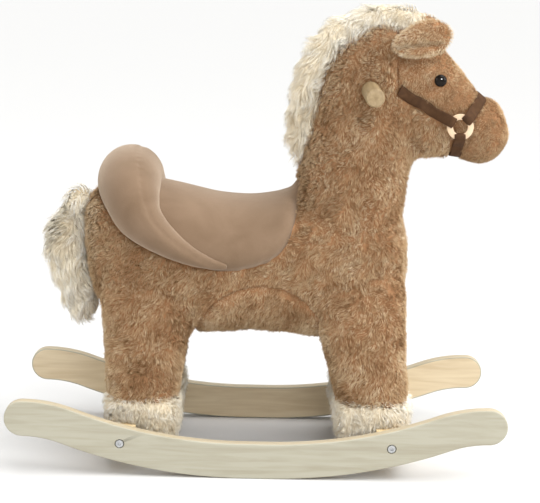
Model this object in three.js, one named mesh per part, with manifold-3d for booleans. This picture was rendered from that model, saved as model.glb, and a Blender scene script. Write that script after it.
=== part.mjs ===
// A plush rocking horse on two plywood rockers. Millimetres, +Z up, the head towards +X, and the
// origin on the floor midway between the rockers. "right" is the horse's own right side, at -Y.
//
// The base is two rockers joined by two cross rails, with a bolt and a barrel nut at each joint.
// A post stands in each leg, and carries the body board, the neck board and the handle. Stuffing
// fills the covers round that frame, and the saddle, bridle, mane, tail, ears and eyes lie on them.
import * as THREE from 'three';
import { mergeVertices } from 'three/addons/utils/BufferGeometryUtils.js';
import Module from 'manifold-3d';

const wasm = await Module();
wasm.setup();

// ---------------------------------------------------------------- driving dimensions

const GAP = 0.4; // between pieces that touch
const OVERALL_WIDTH = 280;
const SIDES = { right: -1, left: 1 };
const ENDS = { front: 1, rear: -1 };

const ROCKER = {
  halfLength: 340, // to the tip of each round end
  band: 49, // depth of the curved board
  thickness: 15,
  edge: 1.5, // softened edge
  flat: 18, // half of the level stretch that it stands on
  radius: 700, // of the curve that rolls on the floor
  tipHeight: 54, // of the underside at the round ends
};
const ROCKER_INNER = OVERALL_WIDTH / 2 - ROCKER.thickness;

const BOLT = { x: 184, z: 46, shank: 3, head: 5.6, headHeight: 3, length: 55, hole: 3.5, socket: 2.3 };
const RECESS = { radius: 6.6, depth: 3.6 }; // for the bolt's head, in the rocker's outer face
const NUT = { radius: 5, length: 26, y: 93, hole: 3.4 };
const RAIL = { width: 40, height: 40 };
const POST = { x: 176, y: 66, width: 28, depth: 40 };
const SCREW = { shank: 2, head: 4.2, headHeight: 3, length: 76, hole: 2.5 };
const BODY_BOARD = { z: 207, thickness: 18, halfLength: 184, narrow: 45, wide: 80, pad: 36 };
const NECK_BOARD = { thickness: 18, rear: 92, front: 188, topX: 145, topZ: 552, topRadius: 30 };
const BRACE = { width: 24, height: 26 };
const HANDLE = { x: 144.5, z: 520.5, radius: 12.5, length: 276, chamfer: 1.5, hole: 12.9 };
const COVER = 4; // thickness of the plush covers
const PAD = 11; // thickness of the seat pad
const STRAP = { width: 16, thickness: 2.2 };
const RING = { x: 267, z: 474.5, outer: 18.5, inner: 9.5, thickness: 2.5, y: 51.5 };
const EYE = { x: 238, z: 536, y: 47.8, radius: 8, bulge: 5, shank: 2.4, shankLength: 14 };
const CUFF = { bottom: 40, top: 87.4 };

// ---------------------------------------------------------------- materials

const material = (color, roughness, metalness = 0) =>
  new THREE.MeshStandardMaterial({ color, roughness, metalness });
const MATERIALS = {
  plywood: material(0xdccfae, 0.6),
  timber: material(0xd2b98c, 0.7),
  plush: material(0xa98059, 0.95),
  cream: material(0xe6dcc6, 0.95),
  stuffing: material(0xf2f0ea, 1.0),
  suede: material(0x9d8470, 0.85),
  webbing: material(0x5d4130, 0.8),
  hide: material(0xdcbf9c, 0.7),
  eye: material(0x0c0a09, 0.08),
  steel: material(0xb9bcbf, 0.35, 1),
};

// ---------------------------------------------------------------- solids

// A three.js geometry as a manifold-3d solid.
function solid(geometry) {
  const bare = geometry.clone();
  bare.deleteAttribute('normal');
  bare.deleteAttribute('uv');
  const merged = mergeVertices(bare, 1e-3);
  const vertProperties = new Float32Array(merged.attributes.position.array);
  const triVerts = new Uint32Array(merged.index.array);
  return new wasm.Manifold(new wasm.Mesh({ numProp: 3, vertProperties, triVerts }));
}

// A manifold-3d solid back as a three.js geometry.
function geometryOf(made) {
  const { vertProperties, triVerts } = made.getMesh();
  const geometry = new THREE.BufferGeometry();
  geometry.setAttribute('position', new THREE.BufferAttribute(new Float32Array(vertProperties), 3));
  geometry.setIndex(new THREE.BufferAttribute(new Uint32Array(triVerts), 1));
  geometry.computeVertexNormals();
  return geometry;
}

// The largest body of a solid: a cut can leave slivers, and a piece is one body.
function largest(made) {
  return made.decompose().reduce((a, b) => (b.volume() > a.volume() ? b : a));
}

const cut = (made, ...tools) => tools.reduce((rest, tool) => rest.subtract(tool), made);
const join = (...pieces) => pieces.reduce((all, piece) => all.add(piece));

function box(x, y, z, width, depth, height) {
  return solid(new THREE.BoxGeometry(width, depth, height).translate(x, y, z));
}

// A round rod along axis 'x', 'y' or 'z', centred on (x, y, z).
function rod(axis, x, y, z, radius, length, sides = 16) {
  const made = new THREE.CylinderGeometry(radius, radius, length, sides);
  if (axis === 'x') made.rotateZ(Math.PI / 2);
  if (axis === 'z') made.rotateX(Math.PI / 2);
  return solid(made.translate(x, y, z));
}

// An outline in side view (x, z), extruded across the object from y = from to y = to.
function sideExtrusion(shape, from, to, options = {}) {
  const { bevel = 0, curveSegments = 8 } = options;
  const made = new THREE.ExtrudeGeometry(shape, {
    depth: to - from - 2 * bevel,
    bevelEnabled: bevel > 0,
    bevelThickness: bevel,
    bevelSize: bevel,
    bevelOffset: -bevel,
    bevelSegments: 1,
    curveSegments,
  });
  return solid(made.rotateX(Math.PI / 2).translate(0, to - bevel, 0));
}

const outline = (points) => new THREE.Shape(points.map(([x, z]) => new THREE.Vector2(x, z)));
const splineOutline = (points, divisions = 28) =>
  new THREE.Shape(
    new THREE.CatmullRomCurve3(points.map(([x, z]) => new THREE.Vector3(x, z, 0)), true)
      .getPoints(divisions)
      .slice(0, -1)
      .map((p) => new THREE.Vector2(p.x, p.y)),
  );

// A skin through rings of points, closed by a fan at each end.
function skin(rings) {
  const count = rings[0].length;
  const middle = (ring) => ring.reduce((sum, p) => sum.add(p), new THREE.Vector3()).divideScalar(count);
  const points = [...rings.flat(), middle(rings[0]), middle(rings.at(-1))];
  const index = [];
  for (let r = 0; r + 1 < rings.length; r++) {
    for (let i = 0; i < count; i++) {
      const a = r * count + i;
      const b = r * count + ((i + 1) % count);
      index.push(a, b, a + count, b, b + count, a + count);
    }
  }
  const last = (rings.length - 1) * count;
  for (let i = 0; i < count; i++) {
    const next = (i + 1) % count;
    index.push(points.length - 2, next, i, points.length - 1, last + i, last + next);
  }
  const geometry = new THREE.BufferGeometry().setFromPoints(points);
  geometry.setIndex(index);
  const made = solid(geometry);
  if (made.volume() > 0) return made;
  geometry.setIndex([...index].reverse());
  return solid(geometry);
}

// A soft body through stations. A station [ax, az, bx, bz, w, y] is a rounded section in the plane
// of the Y direction and the line from (ax, az) to (bx, bz): w is its half width, y its middle.
// grow swells it all round, and start and end lengthen its two ends by that much more.
function body(stations, options = {}) {
  const { grow = 0, start = 0, end = 0, sides = 18, power = 2.3 } = options;
  const middles = stations.map(([ax, az, bx, bz, , y = 0]) => new THREE.Vector3((ax + bx) / 2, y, (az + bz) / 2));
  const away = (from, to, distance) => middles[from].clone().sub(middles[to]).setLength(distance);
  const last = stations.length - 1;
  const shift = new Map([[0, away(0, 1, grow + start)], [last, away(last, last - 1, grow + end)]]);
  const rings = stations.map(([ax, az, bx, bz, w], i) => {
    const half = new THREE.Vector3(ax - bx, 0, az - bz).divideScalar(2);
    half.setLength(half.length() + grow);
    const centre = middles[i].clone().add(shift.get(i) ?? new THREE.Vector3());
    const round = (value) => Math.sign(value) * Math.abs(value) ** (2 / power);
    return Array.from({ length: sides }, (_, k) => {
      const turn = (2 * Math.PI * (k + 0.5)) / sides;
      const p = centre.clone().addScaledVector(half, round(Math.cos(turn)));
      p.y += (w + grow) * round(Math.sin(turn));
      return p;
    });
  });
  return skin(rings);
}

// The same station list on the other side of the object.
const mirrored = (stations, side) => stations.map(([ax, az, bx, bz, w, y]) => [ax, az, bx, bz, w, y * side]);

// ---------------------------------------------------------------- stations of the soft bodies

const TORSO = [
  [-247, 335, -247, 302, 16],
  [-240, 362, -240, 262, 44],
  [-226, 378, -228, 218, 68],
  [-198, 384, -200, 186, 85],
  [-160, 382, -160, 172, 94],
  [-110, 372, -110, 170, 96],
  [-60, 360, -60, 171, 94],
  [-10, 357, -10, 176, 91],
  [40, 366, 40, 172, 91],
  [90, 380, 90, 166, 92],
  [140, 382, 140, 168, 88],
  [176, 372, 176, 182, 77],
  [197, 346, 197, 214, 56],
  [207, 308, 207, 258, 22],
];
const NECK = [
  [48, 318, 196, 318, 80],
  [46, 385, 204, 382, 72],
  [51, 425, 207, 410, 65],
  [59, 465, 213, 432, 60],
  [66, 500, 223, 458, 58],
  [73, 533, 228, 492, 57],
  [84, 563, 228, 530, 55],
  [104, 588, 222, 565, 49],
  [130, 605, 212, 590, 39],
  [150, 613, 197, 604, 25],
  [164, 616, 184, 611, 10],
];
const HEAD = [
  [150, 602, 176, 440, 46],
  [178, 612, 196, 425, 50],
  [214, 600, 212, 421, 50],
  [244, 580, 230, 422, 49],
  [263, 558, 247, 424, 48],
  [281, 538, 262, 424, 47],
  [294, 521, 277, 422, 44],
];
const MUZZLE = [
  [293, 519, 275, 424, 43],
  [314, 511, 288, 418, 48],
  [329, 497, 304, 415, 49],
  [336, 483, 321, 423, 41],
  [342, 464, 339, 443, 18],
];
const FRONT_LEG = [
  [92, 278, 192, 278, 32, 44],
  [82, 250, 205, 250, 41, 51],
  [80, 222, 206, 222, 47, 56],
  [82, 190, 206, 190, 50, 60],
  [90, 158, 207, 158, 51, 63],
  [102, 118, 211, 118, 52, 65],
  [108, 88, 212, 88, 52, 66],
];
const REAR_LEG = [
  [-202, 278, -100, 278, 32, 44],
  [-217, 250, -89, 250, 41, 51],
  [-219, 222, -88, 222, 47, 56],
  [-216, 190, -92, 190, 50, 60],
  [-213, 158, -98, 158, 51, 63],
  [-211, 118, -102, 118, 52, 65],
  [-209, 88, -106, 88, 52, 66],
];
const MANE = [
  [44, 416, 60, 424, 8],
  [31, 448, 72, 462, 20],
  [34, 495, 80, 505, 26],
  [46, 545, 92, 540, 28],
  [63, 582, 110, 560, 28],
  [90, 612, 130, 580, 27],
  [122, 629, 145, 590, 25],
  [158, 637, 165, 597, 22],
  [196, 636, 192, 590, 18],
  [226, 624, 214, 590, 9],
];
const TAIL = [
  [-263, 363, -252, 353, 9],
  [-282, 354, -252, 336, 22],
  [-303, 325, -257, 318, 31],
  [-307, 290, -252, 290, 34],
  [-300, 253, -243, 255, 33],
  [-290, 225, -235, 226, 29],
  [-277, 200, -230, 201, 22],
  [-260, 184, -236, 185, 11],
];
const EAR = [
  [168, 586, 171, 575, 6, 53],
  [180, 602, 180, 567, 11, 58],
  [199, 616, 199, 565, 13, 61],
  [221, 622, 221, 567, 13, 63],
  [241, 617, 239, 572, 11, 62],
  [252, 602, 250, 586, 5, 60],
];
const SADDLE_OUTLINE = [
  [-165, 330], [-118, 297], [-70, 280], [-38, 277], [6, 287], [35, 308],
  [49, 340], [52, 372], [50, 420], [-70, 440], [-175, 430],
];
// The cantle roll's middle line on the right side, from the top down, with its radius there.
const ROLL = [
  [-182, 0, 388, 46],
  [-180, 40, 384, 45],
  [-174, 70, 370, 40],
  [-163, 87, 348, 33],
  [-140, 93, 326, 25],
  [-106, 95, 304, 16],
  [-64, 95, 288, 7],
];

// ---------------------------------------------------------------- the base

function rockerShape() {
  const { halfLength, band, flat, radius, tipHeight } = ROCKER;
  const endX = halfLength - band / 2;
  const swing = 2 * Math.atan(tipHeight / (endX - flat)); // of the curve, before it flattens out
  const counter = (endX - flat) / Math.sin(swing) - radius; // radius of the flattening curve
  const down = -Math.PI / 2;
  const up = Math.PI / 2;
  const shape = new THREE.Shape();
  shape.absarc(flat, radius, radius, down, down + swing, false);
  shape.absarc(endX, tipHeight - counter, counter, up + swing, up, true);
  shape.absarc(endX, tipHeight + band / 2, band / 2, down, up, false);
  shape.absarc(endX, tipHeight - counter, counter + band, up, up + swing, false);
  shape.absarc(flat, radius, radius - band, down + swing, down, true);
  shape.absarc(-flat, radius, radius - band, down, down - swing, true);
  shape.absarc(-endX, tipHeight - counter, counter + band, up - swing, up, false);
  shape.absarc(-endX, tipHeight + band / 2, band / 2, up, up + Math.PI, false);
  shape.absarc(-endX, tipHeight - counter, counter, up, up - swing, true);
  shape.absarc(-flat, radius, radius, down - swing, down, false);
  return shape;
}

function rocker(side) {
  const middle = side * (OVERALL_WIDTH / 2 - ROCKER.thickness / 2);
  const half = ROCKER.thickness / 2;
  const board = sideExtrusion(rockerShape(), middle - half, middle + half, { bevel: ROCKER.edge, curveSegments: 5 });
  const holes = Object.values(ENDS).flatMap((end) => [
    rod('y', end * BOLT.x, middle, BOLT.z, BOLT.hole, ROCKER.thickness + 2),
    rod('y', end * BOLT.x, (side * OVERALL_WIDTH) / 2, BOLT.z, RECESS.radius, 2 * RECESS.depth, 20),
  ]);
  return cut(board, ...holes);
}

function railBlock(end, gap = 0) {
  const depth = 2 * (ROCKER_INNER - GAP) + 2 * gap;
  return box(end * BOLT.x, 0, BOLT.z, RAIL.width + 2 * gap, depth, RAIL.height + 2 * gap);
}

function crossRail(end) {
  const bottom = BOLT.z - RAIL.height / 2;
  const holes = Object.values(SIDES).flatMap((side) => [
    rod('y', end * BOLT.x, side * ROCKER_INNER, BOLT.z, BOLT.hole, 2 * BOLT.length, 10),
    rod('z', end * BOLT.x, side * NUT.y, bottom + 16, NUT.radius + 0.3, 36, 12),
    rod('z', end * POST.x, side * POST.y, BOLT.z, SCREW.hole, RAIL.height + 2, 8),
    rod('z', end * POST.x, side * POST.y, bottom, SCREW.head + 0.8, 2 * (SCREW.headHeight + 1), 10),
  ]);
  return cut(railBlock(end), ...holes);
}

// A connector bolt along Y, with its head in the recess in the rocker's outer face.
function rockerBolt(end, side) {
  const { shank, head, headHeight, length } = BOLT;
  const profile = [
    [0, -length], [shank - 0.5, -length], [shank, -length + 1], [shank, 0],
    [head, 0], [head, headHeight * 0.4], [head * 0.72, headHeight], [0, headHeight],
  ].map(([r, y]) => new THREE.Vector2(r, y));
  const lathe = new THREE.LatheGeometry(profile, 16);
  const hex = new THREE.CylinderGeometry(BOLT.socket, BOLT.socket, 4, 6).translate(0, headHeight, 0);
  const seat = side * (OVERALL_WIDTH / 2 - RECESS.depth + GAP);
  const place = new THREE.Matrix4().makeTranslation(end * BOLT.x, seat, BOLT.z);
  if (side < 0) place.multiply(new THREE.Matrix4().makeRotationX(Math.PI));
  return cut(solid(lathe.applyMatrix4(place)), solid(hex.applyMatrix4(place)));
}

function barrelNut(end, side) {
  const x = end * BOLT.x;
  const nut = rod('z', x, side * NUT.y, BOLT.z, NUT.radius, NUT.length);
  return cut(nut, rod('y', x, side * NUT.y, BOLT.z, NUT.hole, 4 * NUT.radius, 12));
}

// A countersunk screw up through the rail into the post.
function postScrew(end, side) {
  const { shank, head, headHeight, length } = SCREW;
  const profile = [
    [0, 0], [head, 0], [head, headHeight * 0.4], [shank, headHeight], [shank, length - 4], [0, length],
  ].map(([r, y]) => new THREE.Vector2(r, y));
  const lathe = new THREE.LatheGeometry(profile, 12).rotateX(Math.PI / 2);
  return solid(lathe.translate(end * POST.x, side * POST.y, BOLT.z - RAIL.height / 2 + 0.5));
}

// ---------------------------------------------------------------- the wooden frame

function legPost(end, side, gap = 0) {
  const bottom = BOLT.z + RAIL.height / 2 + GAP;
  const top = BODY_BOARD.z - GAP;
  const middle = (bottom + top) / 2;
  const width = POST.width + 2 * gap;
  const depth = POST.depth + 2 * gap;
  return box(end * POST.x, side * POST.y, middle, width, depth, top - bottom + 2 * gap);
}

function screwedPost(end, side) {
  const bottom = BOLT.z + RAIL.height / 2;
  return cut(legPost(end, side), rod('z', end * POST.x, side * POST.y, bottom, SCREW.hole, 90, 12));
}

// The board under the belly, wide over the posts and narrow between them.
function bodyBoard(gap = 0) {
  const { halfLength, narrow, wide, pad, thickness, z } = BODY_BOARD;
  const shoulder = halfLength - pad - gap;
  const corner = (x, y) => new THREE.Vector2(x, y);
  const quarter = [
    corner(halfLength + gap, wide - 14 + gap), corner(halfLength - 14 + gap, wide + gap),
    corner(shoulder, wide + gap), corner(shoulder - 30, narrow + gap),
  ];
  const flip = (list, sx, sy) => list.map((p) => corner(p.x * sx, p.y * sy));
  const shape = new THREE.Shape([
    ...quarter, ...flip(quarter, -1, 1).reverse(), ...flip(quarter, -1, -1), ...flip(quarter, 1, -1).reverse(),
  ]);
  const made = new THREE.ExtrudeGeometry(shape, { depth: thickness + 2 * gap, bevelEnabled: false });
  return solid(made.translate(0, 0, z - gap));
}

const BOARD_TOP = BODY_BOARD.z + BODY_BOARD.thickness;

function neckBoard(gap = 0) {
  const { thickness, rear, front, topX, topZ, topRadius } = NECK_BOARD;
  const shape = new THREE.Shape();
  shape.moveTo(rear - gap, BOARD_TOP + GAP - gap);
  shape.lineTo(front + gap, BOARD_TOP + GAP - gap);
  shape.lineTo(front + gap, 300);
  shape.lineTo(topX + topRadius + gap, 430);
  shape.absarc(topX, topZ, topRadius + gap, 0, Math.PI, false);
  shape.lineTo(topX - topRadius - gap, 430);
  shape.lineTo(rear - gap, 300);
  return sideExtrusion(shape, -thickness / 2 - gap, thickness / 2 + gap);
}

function drilledNeckBoard() {
  return cut(neckBoard(), rod('y', HANDLE.x, 0, HANDLE.z, HANDLE.hole, 2 * NECK_BOARD.thickness, 24));
}

// A glue block in the corner between the neck board and the body board.
function neckBrace(side, gap = 0) {
  const y = side * (NECK_BOARD.thickness / 2 + GAP + BRACE.width / 2);
  const z = BOARD_TOP + GAP + BRACE.height / 2;
  const x = (NECK_BOARD.rear + NECK_BOARD.front) / 2;
  const length = NECK_BOARD.front - NECK_BOARD.rear - 10;
  return box(x, y, z, length + 2 * gap, BRACE.width + 2 * gap, BRACE.height + 2 * gap);
}

function handleBar() {
  const { radius, length, chamfer, x, z } = HANDLE;
  const half = length / 2;
  const profile = [[0, -half], [radius - chamfer, -half], [radius, -half + chamfer]];
  const points = [...profile, ...profile.map(([r, y]) => [r, -y]).reverse()];
  const lathe = new THREE.LatheGeometry(points.map(([r, y]) => new THREE.Vector2(r, y)), 24);
  return solid(lathe.translate(x, 0, z));
}

// All the wood inside the covers, a gap larger than it is.
function frameRoom() {
  const room = [bodyBoard(GAP), neckBoard(GAP), neckBrace(-1, GAP), neckBrace(1, GAP)];
  for (const end of Object.values(ENDS)) {
    for (const side of Object.values(SIDES)) room.push(legPost(end, side, GAP));
  }
  room.push(rod('y', HANDLE.x, 0, HANDLE.z, HANDLE.hole, HANDLE.length, 16));
  return join(...room);
}

// ---------------------------------------------------------------- covers and stuffing

const legStations = (end, side) => mirrored(end > 0 ? FRONT_LEG : REAR_LEG, side);
const OPENING = 2 * COVER; // lengthens the inside of a cover, so that the cover is open there
const OPEN = { start: OPENING, end: OPENING };
const allLegs = (make) =>
  Object.values(ENDS).flatMap((end) => Object.values(SIDES).map((side) => make(legStations(end, side))));

const torso = (grow) => body(TORSO, { grow });
const neck = (grow, options) => body(NECK, { grow, ...options });
const head = (grow, options) => body(HEAD, { grow, sides: 16, ...options });
const muzzle = (grow, options) => body(MUZZLE, { grow, sides: 16, ...options });
const leg = (stations, grow, options) => body(stations, { grow, sides: 14, power: 2.6, ...options });

// The belly gusset's outline in side view, an arch between the front and the rear legs.
function gussetPrism(grow = 0) {
  const shape = new THREE.Shape();
  shape.absellipse(4, 140, 96 + grow, 116 + grow, 0, 2 * Math.PI, false);
  return sideExtrusion(shape, -OVERALL_WIDTH / 2, OVERALL_WIDTH / 2, { curveSegments: 10 });
}

function torsoShell() {
  const legs = allLegs((stations) => leg(stations, -COVER, OPEN));
  return cut(torso(0), torso(-COVER), neck(-COVER, OPEN), ...legs);
}

function torsoCover() {
  return largest(cut(torsoShell(), gussetPrism(GAP)));
}

function bellyPanel() {
  return largest(torsoShell().intersect(gussetPrism()));
}

const eyeHole = (side) => rod('y', EYE.x, side * EYE.y, EYE.z, EYE.shank + GAP, 60, 12);

function neckCover() {
  const handleHole = rod('y', HANDLE.x, 0, HANDLE.z, HANDLE.hole, HANDLE.length, 16);
  return largest(cut(neck(0), neck(-COVER, { start: OPENING }), torso(GAP), head(-COVER, OPEN), handleHole));
}

function headCover() {
  return largest(cut(head(0), head(-COVER, OPEN), neck(GAP), eyeHole(-1), eyeHole(1)));
}

function muzzleCover() {
  return largest(cut(muzzle(0), muzzle(-COVER, { start: OPENING }), head(GAP)));
}

function legCover(end, side) {
  const stations = legStations(end, side);
  return largest(cut(leg(stations, 0), leg(stations, -COVER, OPEN), torso(GAP), frameRoom()));
}

const FILL = -COVER - 1.2; // how far the stuffing lies inside the covers' outer face

function legStuffing(end, side) {
  return largest(cut(leg(legStations(end, side), FILL), torso(-COVER), frameRoom()));
}

const torsoStuffing = () => largest(cut(torso(FILL), frameRoom()));
const neckStuffing = () => largest(cut(neck(FILL), torso(-COVER), frameRoom()));
const headStuffing = () =>
  largest(cut(join(head(FILL), muzzle(FILL, { start: OPENING })), neck(-COVER), eyeHole(-1), eyeHole(1)));

// ---------------------------------------------------------------- hooves, mane, tail, ears and eyes

function hoofCuff(end, side) {
  const [rear, front] = end > 0 ? [105, 215] : [-212, -103];
  const { bottom, top } = CUFF;
  const rows = [[bottom, 5], [bottom + 8, 1], [top - 10, 0], [top, 3]];
  const stations = rows.map(([z, pull]) => [rear + pull, z, front - pull, z, 54 - pull, side * 66]);
  const cuff = body(stations, { sides: 16, power: 2.6 });
  return largest(cut(cuff, legPost(end, side, GAP), railBlock(end, GAP)));
}

const mane = () => largest(cut(body(MANE, { sides: 12 }), neck(GAP), head(GAP)));
const tail = () => largest(cut(body(TAIL, { sides: 12 }), torso(1)));
const ear = (side) => largest(cut(body(mirrored(EAR, side), { sides: 12 }), head(1), neck(1)));

function eye(side) {
  const { x, y, z, radius, bulge, shank, shankLength } = EYE;
  const dome = Array.from({ length: 6 }, (_, i) => (i / 5) * (Math.PI / 2));
  const profile = [
    [0, -shankLength], [shank, -shankLength], [shank, 0], [radius, 0],
    ...dome.map((a) => [radius * Math.cos(a), 0.8 + bulge * Math.sin(a)]),
  ];
  const points = profile.map(([r, h]) => new THREE.Vector2(Math.max(0, r < 1e-6 ? 0 : r), h));
  const lathe = new THREE.LatheGeometry(points, 14);
  if (side < 0) lathe.rotateX(Math.PI);
  return solid(lathe.translate(x, side * y, z));
}

// ---------------------------------------------------------------- saddle and bridle

function rollSolid(grow = 0) {
  const left = ROLL.map(([x, y, z, r]) => [new THREE.Vector3(x, y, z), r]);
  const right = ROLL.slice(1).map(([x, y, z, r]) => [new THREE.Vector3(x, -y, z), r]);
  const path = [...right.reverse(), ...left];
  const rings = path.map(([centre, radius], i) => {
    const before = path[Math.max(0, i - 1)][0];
    const after = path[Math.min(path.length - 1, i + 1)][0];
    const along = after.clone().sub(before).normalize();
    const across = new THREE.Vector3(1, 0, 0).cross(along).normalize();
    const back = along.clone().cross(across);
    return Array.from({ length: 14 }, (_, k) => {
      const turn = (2 * Math.PI * k) / 14;
      return centre
        .clone()
        .addScaledVector(across, (radius + grow) * Math.cos(turn))
        .addScaledVector(back, (radius + grow) * Math.sin(turn));
    });
  });
  return skin(rings);
}

const saddleRoll = () => largest(cut(rollSolid(), torso(GAP)));

function saddleSeat() {
  const across = sideExtrusion(splineOutline(SADDLE_OUTLINE), -OVERALL_WIDTH / 2, OVERALL_WIDTH / 2);
  return largest(cut(torso(PAD).intersect(across), torso(GAP), rollSolid(GAP), neck(GAP)));
}

// A strap on the head: the layer between two skins of the head, inside an outline in side view.
function headStrap(points, from, to) {
  const layer = cut(head(GAP + STRAP.thickness), head(GAP), neck(GAP), muzzle(GAP));
  const ringRoom = Object.values(SIDES).map((side) =>
    rod('y', RING.x, side * RING.y, RING.z, RING.outer + GAP, 20, 20),
  );
  return largest(cut(layer.intersect(sideExtrusion(outline(points), from, to)), ...ringRoom));
}

// A straight band of the strap's width from (ax, az) to (bx, bz).
function band(ax, az, bx, bz, width = STRAP.width) {
  const run = new THREE.Vector2(bx - ax, bz - az);
  const off = new THREE.Vector2(-run.y, run.x).setLength(width / 2);
  return [
    [ax + off.x, az + off.y], [ax - off.x, az - off.y], [bx - off.x, bz - off.y], [bx + off.x, bz + off.y],
  ];
}

function cheekStrap(side) {
  const [from, to] = side < 0 ? [-OVERALL_WIDTH / 2, 0] : [0, OVERALL_WIDTH / 2];
  return headStrap(band(RING.x, RING.z, 160, 533.5), from, to);
}

const noseStrap = () => headStrap(band(RING.x, RING.z, 306, 519, 15), -100, 100);
const chinStrap = () => headStrap(band(RING.x, RING.z, 262.5, 400, 15), -100, 100);

function bridleRing(side) {
  const shape = new THREE.Shape();
  shape.absarc(RING.x, RING.z, RING.outer, 0, 2 * Math.PI, false);
  const hole = new THREE.Path();
  hole.absarc(RING.x, RING.z, RING.inner, 0, 2 * Math.PI, true);
  shape.holes.push(hole);
  const near = side * RING.y;
  const far = side * (RING.y + RING.thickness);
  return sideExtrusion(shape, Math.min(near, far), Math.max(near, far), { curveSegments: 10 });
}

// ---------------------------------------------------------------- the object

const horse = new THREE.Group();

function add(name, made, look) {
  const mesh = new THREE.Mesh(geometryOf(made), MATERIALS[look]);
  mesh.name = name;
  horse.add(mesh);
}

for (const [sideName, side] of Object.entries(SIDES)) {
  add(`rocker_${sideName}`, rocker(side), 'plywood');
  add(`neck_brace_${sideName}`, neckBrace(side), 'timber');
  add(`ear_${sideName}`, ear(side), 'plush');
  add(`eye_${sideName}`, eye(side), 'eye');
  add(`bridle_ring_${sideName}`, bridleRing(side), 'hide');
  add(`cheek_strap_${sideName}`, cheekStrap(side), 'webbing');
}

for (const [endName, end] of Object.entries(ENDS)) {
  add(`cross_rail_${endName}`, crossRail(end), 'timber');
  for (const [sideName, side] of Object.entries(SIDES)) {
    const corner = `${endName}_${sideName}`;
    add(`rocker_bolt_${corner}`, rockerBolt(end, side), 'steel');
    add(`barrel_nut_${corner}`, barrelNut(end, side), 'steel');
    add(`post_screw_${corner}`, postScrew(end, side), 'steel');
    add(`leg_post_${corner}`, screwedPost(end, side), 'timber');
    add(`leg_stuffing_${corner}`, legStuffing(end, side), 'stuffing');
    add(`leg_cover_${corner}`, legCover(end, side), 'plush');
    add(`hoof_cuff_${corner}`, hoofCuff(end, side), 'cream');
  }
}

add('body_board', bodyBoard(), 'plywood');
add('neck_board', drilledNeckBoard(), 'plywood');
add('handle_bar', handleBar(), 'timber');
add('torso_cover', torsoCover(), 'plush');
add('belly_panel', bellyPanel(), 'plush');
add('torso_stuffing', torsoStuffing(), 'stuffing');
add('neck_cover', neckCover(), 'plush');
add('neck_stuffing', neckStuffing(), 'stuffing');
add('head_cover', headCover(), 'plush');
add('head_stuffing', headStuffing(), 'stuffing');
add('muzzle_cover', muzzleCover(), 'plush');
add('mane', mane(), 'cream');
add('tail', tail(), 'cream');
add('saddle_seat', saddleSeat(), 'suede');
add('saddle_roll', saddleRoll(), 'suede');
add('nose_strap', noseStrap(), 'webbing');
add('chin_strap', chinStrap(), 'webbing');

export default horse;
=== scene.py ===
"""The looks of a plush rocking horse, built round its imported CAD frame.

Metres, +Z up, the horse's head towards +X, its right side at -Y. The CAD's covers are fused and
smoothed into one stuffed body, which is cut into sewn panels, and every panel grows its own pile.
"""

import math

import bpy
import numpy as np
from mathutils import Matrix, Vector, kdtree
from mathutils.bvhtree import BVHTree


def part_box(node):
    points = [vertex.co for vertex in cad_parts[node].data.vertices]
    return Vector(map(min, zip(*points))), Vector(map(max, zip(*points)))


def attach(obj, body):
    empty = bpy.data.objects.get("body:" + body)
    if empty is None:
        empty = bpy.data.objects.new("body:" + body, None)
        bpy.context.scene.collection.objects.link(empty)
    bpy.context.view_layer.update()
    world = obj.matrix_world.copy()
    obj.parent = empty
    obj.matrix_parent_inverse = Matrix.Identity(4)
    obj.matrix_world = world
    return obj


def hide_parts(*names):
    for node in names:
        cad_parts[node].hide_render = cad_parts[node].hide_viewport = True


# ------------------------------------------------------------------ driving values

SIDES = {"right": -1, "left": 1}
ENDS = {"front": 1, "rear": -1}
CORNERS = [f"{end}_{side}" for end in ENDS for side in SIDES]
NAME_OF = {side: name for name, side in SIDES.items()}

PIECE_FACES = 190000  # at most, in one piece of pile
SHORTEST = 0.0012  # strand that is worth growing
ON_AXIS = 0.0001  # the radius at a turned profile's ends
VOXEL = 0.0045  # of the fused body
CORE_VOXEL = 0.004  # of the cores under long pile
BODY_SMOOTHING = 16
SEAM_DEPTH = 0.0055

PAD_RISE = 0.0125  # of the seat above the shorn body
PAD_EDGE = 0.014  # over which the seat's rim rounds down
SEAT_OUTLINE = [
    (-0.215, 0.375), (-0.181, 0.346), (-0.153, 0.318), (-0.115, 0.294), (-0.068, 0.279),
    (-0.036, 0.277), (0.007, 0.287), (0.034, 0.307), (0.048, 0.340), (0.053, 0.370),
    (0.053, 0.396), (0.030, 0.410), (-0.010, 0.500), (-0.200, 0.500), (-0.260, 0.400),
]  # fmt: skip

# The cantle roll's middle line from the top down the right side: x, y, z and radius.
ROLL = [
    (-0.182, 0.000, 0.388, 0.046), (-0.180, 0.040, 0.384, 0.045), (-0.174, 0.070, 0.370, 0.040),
    (-0.163, 0.087, 0.348, 0.034), (-0.140, 0.093, 0.326, 0.026), (-0.106, 0.096, 0.304, 0.018),
    (-0.072, 0.097, 0.290, 0.012), (-0.042, 0.096, 0.283, 0.007),
]  # fmt: skip

# How far round the cantle its seam lies, in radians from its crown towards the seat, against the
# share of the way from its middle to either end.
ROLL_SEAM = [(0.0, 0.25), (0.45, 0.45), (0.75, 0.40), (1.0, -0.30)]

PRESSURE = 4  # of the saddle's stuffing, in its cloth simulation
LAST_FRAME = 20

STRAP_WIDTH = 0.0150
STRAP_THICKNESS = 0.0022
STRAP_LIFT = 0.0035  # of a strap above the shorn skin
RING_OUTER = 0.0180
RING_INNER = 0.0100
RING_THICKNESS = 0.0026
CHEEK_END = (0.1815, 0.5220)  # where the cheek strap is sewn into the seam behind the face
NOSE_WAY = (0.66, 0.75)  # from the ring up over the nose, in side view
CHIN_WAY = (0.0, -1.0)
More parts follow.
